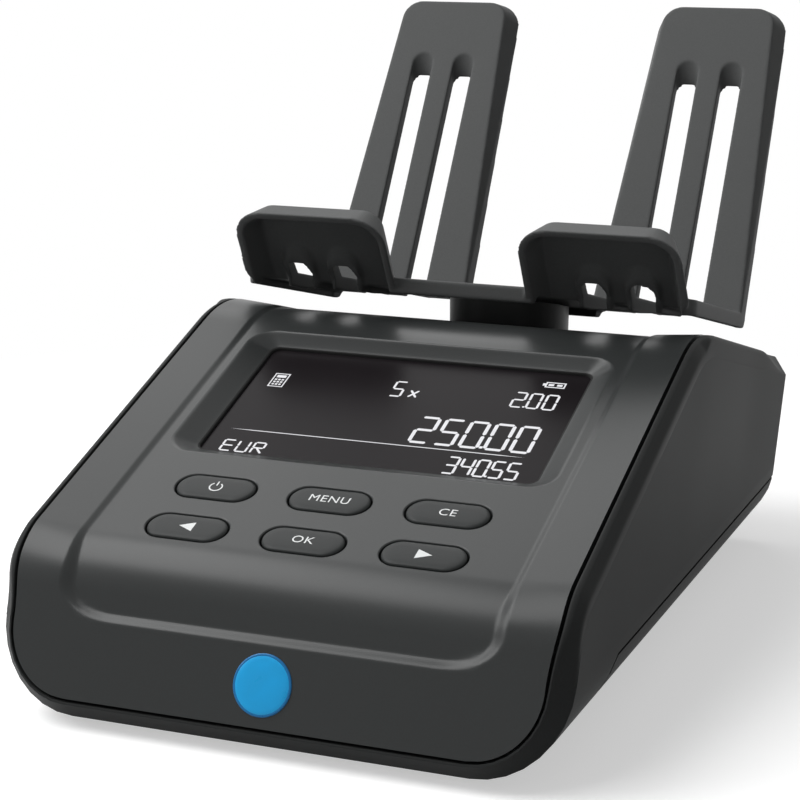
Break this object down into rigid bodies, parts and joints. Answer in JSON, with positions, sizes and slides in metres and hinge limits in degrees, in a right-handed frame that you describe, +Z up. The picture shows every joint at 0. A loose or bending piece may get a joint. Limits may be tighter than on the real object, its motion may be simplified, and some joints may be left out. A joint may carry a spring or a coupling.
{
  "type": "money counting scale",
  "caption": "Wedge-shaped counter-top money counting scale with a sloped display and key panel and a slotted coin tray on a load cell.",
  "frame": {"origin": "on the table plane, under the middle of the overall box", "axes": "+X to the right seen from the keys, +Y from the front face to the rear, +Z up"},
  "size_m": [0.138, 0.2462, 0.1542],
  "materials": {
    "housing_plastic": "fine matt texture, near black",
    "cover_plastic": "satin grey paint-like texture",
    "key_plastic": "satin grey",
    "tray_plastic": "fine matt texture, charcoal",
    "post_plastic": "matt black",
    "badge_plastic": "gloss blue",
    "lens": "gloss black window",
    "display": "dark display panel",
    "backlight": "milky white",
    "circuit_board": "green board",
    "rubber": "soft black",
    "socket_plastic": "black",
    "steel": "plain",
    "aluminium": "milled",
    "battery_sleeve": "printed sleeve"
  },
  "bodies": {
    "housing": {"base_housing": "housing_plastic", "bottom_cover": "housing_plastic", "top_cover": "cover_plastic", "badge": "badge_plastic", "display_lens": "lens", "lcd_panel": "display", "backlight": "backlight", "main_board": "circuit_board", "keypad_mat": "rubber", "buzzer": "socket_plastic", "board_screws": "steel", "load_cell": "aluminium", "load_cell_spacer": "steel", "load_cell_screws": "steel", "overload_stop": "steel", "battery_cell_1": "battery_sleeve", "battery_cell_2": "battery_sleeve", "battery_cell_3": "battery_sleeve", "battery_cell_4": "battery_sleeve", "battery_contacts": "steel", "power_inlet": "socket_plastic", "printer_socket": "socket_plastic", "port_board": "circuit_board", "foot_front_left": "rubber", "foot_front_right": "rubber", "foot_rear_left": "rubber", "foot_rear_right": "rubber", "housing_screws": "steel"},
    "key_power": {"key_power": "key_plastic"},
    "key_menu": {"key_menu": "key_plastic"},
    "key_clear": {"key_clear": "key_plastic"},
    "key_left": {"key_left": "key_plastic"},
    "key_ok": {"key_ok": "key_plastic"},
    "key_right": {"key_right": "key_plastic"},
    "platform": {"load_spider": "steel", "spider_screws": "steel", "load_post": "post_plastic", "post_screws": "steel"},
    "tray": {"coin_tray": "tray_plastic"},
    "hatch": {"battery_door": "housing_plastic"}
  },
  "joints": [
    {"name": "key_power_press", "type": "slide", "parent": "housing", "child": "key_power", "axis": [0, 0.342, -0.9397], "range_m": [0, 0.001], "stiffness_N_per_m": 800, "springref_m": -0.0005, "deforming": ["keypad_mat"]},
    {"name": "key_menu_press", "type": "slide", "parent": "housing", "child": "key_menu", "axis": [0, 0.342, -0.9397], "range_m": [0, 0.001], "stiffness_N_per_m": 800, "springref_m": -0.0005, "deforming": ["keypad_mat"]},
    {"name": "key_clear_press", "type": "slide", "parent": "housing", "child": "key_clear", "axis": [0, 0.342, -0.9397], "range_m": [0, 0.001], "stiffness_N_per_m": 800, "springref_m": -0.0005, "deforming": ["keypad_mat"]},
    {"name": "key_left_press", "type": "slide", "parent": "housing", "child": "key_left", "axis": [0, 0.342, -0.9397], "range_m": [0, 0.001], "stiffness_N_per_m": 800, "springref_m": -0.0005, "deforming": ["keypad_mat"]},
    {"name": "key_ok_press", "type": "slide", "parent": "housing", "child": "key_ok", "axis": [0, 0.342, -0.9397], "range_m": [0, 0.001], "stiffness_N_per_m": 800, "springref_m": -0.0005, "deforming": ["keypad_mat"]},
    {"name": "key_right_press", "type": "slide", "parent": "housing", "child": "key_right", "axis": [0, 0.342, -0.9397], "range_m": [0, 0.001], "stiffness_N_per_m": 800, "springref_m": -0.0005, "deforming": ["keypad_mat"]},
    {"name": "platform_weigh", "type": "slide", "parent": "housing", "child": "platform", "axis": [0, 0, 1], "range_m": [-0.0004, 0], "stiffness_N_per_m": 30000, "springref_m": 0.0001, "deforming": ["load_cell"]},
    {"name": "tray_lift", "type": "slide", "parent": "platform", "child": "tray", "axis": [0, 0, 1], "range_m": [0, 0.03]},
    {"name": "hatch_hinge", "type": "hinge", "parent": "housing", "child": "hatch", "pos_m": [0, -0.0713, 0.0033], "axis": [-1, 0, 0], "range_deg": [0, 75]}
  ]
}
